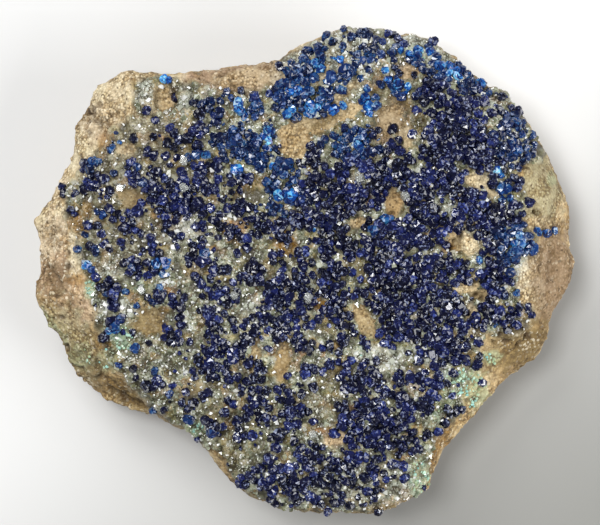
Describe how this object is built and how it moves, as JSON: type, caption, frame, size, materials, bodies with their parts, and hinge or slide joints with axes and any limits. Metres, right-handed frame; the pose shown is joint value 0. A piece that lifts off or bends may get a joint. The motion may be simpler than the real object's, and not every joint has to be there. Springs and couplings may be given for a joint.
{
  "type": "kinoite specimen",
  "caption": "Hand specimen of tan rock with its face crusted in small deep blue kinoite crystals and a few clear apophyllite blocks; it lies on its flat back.",
  "frame": {"origin": "on the surface the slab rests on, under the middle of its outline", "axes": "+X across the crystal face to the right, +Y up the face as pictured, +Z out of the face"},
  "size_m": [0.08, 0.0716, 0.0224],
  "materials": {
    "matrix": "matte",
    "kinoite_blue": "gloss",
    "kinoite_azure": "gloss",
    "apophyllite": "gloss"
  },
  "bodies": {
    "root": {"apophyllite_01": "apophyllite", "apophyllite_02": "apophyllite", "apophyllite_03": "apophyllite", "apophyllite_04": "apophyllite", "apophyllite_05": "apophyllite", "apophyllite_06": "apophyllite", "apophyllite_07": "apophyllite", "apophyllite_08": "apophyllite", "apophyllite_09": "apophyllite", "kinoite_cluster_01": "kinoite_blue", "kinoite_cluster_02": "kinoite_blue", "kinoite_cluster_03": "kinoite_blue", "kinoite_cluster_04": "kinoite_blue", "kinoite_cluster_05": "kinoite_azure", "kinoite_cluster_06": "kinoite_blue", "kinoite_cluster_07": "kinoite_azure", "kinoite_cluster_08": "kinoite_blue", "kinoite_cluster_09": "kinoite_blue", "kinoite_cluster_10": "kinoite_blue", "kinoite_cluster_11": "kinoite_azure", "kinoite_cluster_12": "kinoite_blue", "kinoite_cluster_13": "kinoite_blue", "kinoite_cluster_14": "kinoite_blue", "kinoite_cluster_15": "kinoite_blue", "kinoite_cluster_16": "kinoite_blue", "kinoite_cluster_17": "kinoite_blue", "kinoite_cluster_18": "kinoite_blue", "kinoite_cluster_19": "kinoite_blue", "kinoite_cluster_20": "kinoite_blue", "kinoite_cluster_21": "kinoite_blue", "kinoite_cluster_22": "kinoite_blue", "kinoite_cluster_23": "kinoite_azure", "kinoite_cluster_24": "kinoite_azure", "kinoite_cluster_25": "kinoite_blue", "kinoite_cluster_26": "kinoite_blue", "kinoite_cluster_27": "kinoite_blue", "kinoite_cluster_28": "kinoite_blue", "kinoite_cluster_29": "kinoite_blue", "kinoite_cluster_30": "kinoite_blue", "kinoite_cluster_31": "kinoite_blue", "kinoite_cluster_32": "kinoite_blue", "kinoite_cluster_33": "kinoite_blue", "kinoite_crust_crown": "kinoite_azure", "kinoite_crust_dome": "kinoite_blue", "kinoite_crust_flank": "kinoite_blue", "kinoite_crust_foot": "kinoite_blue", "kinoite_crust_heart": "kinoite_blue", "kinoite_crust_middle": "kinoite_blue", "kinoite_crust_shoulder": "kinoite_azure", "matrix": "matrix"}
  },
  "joints": []
}
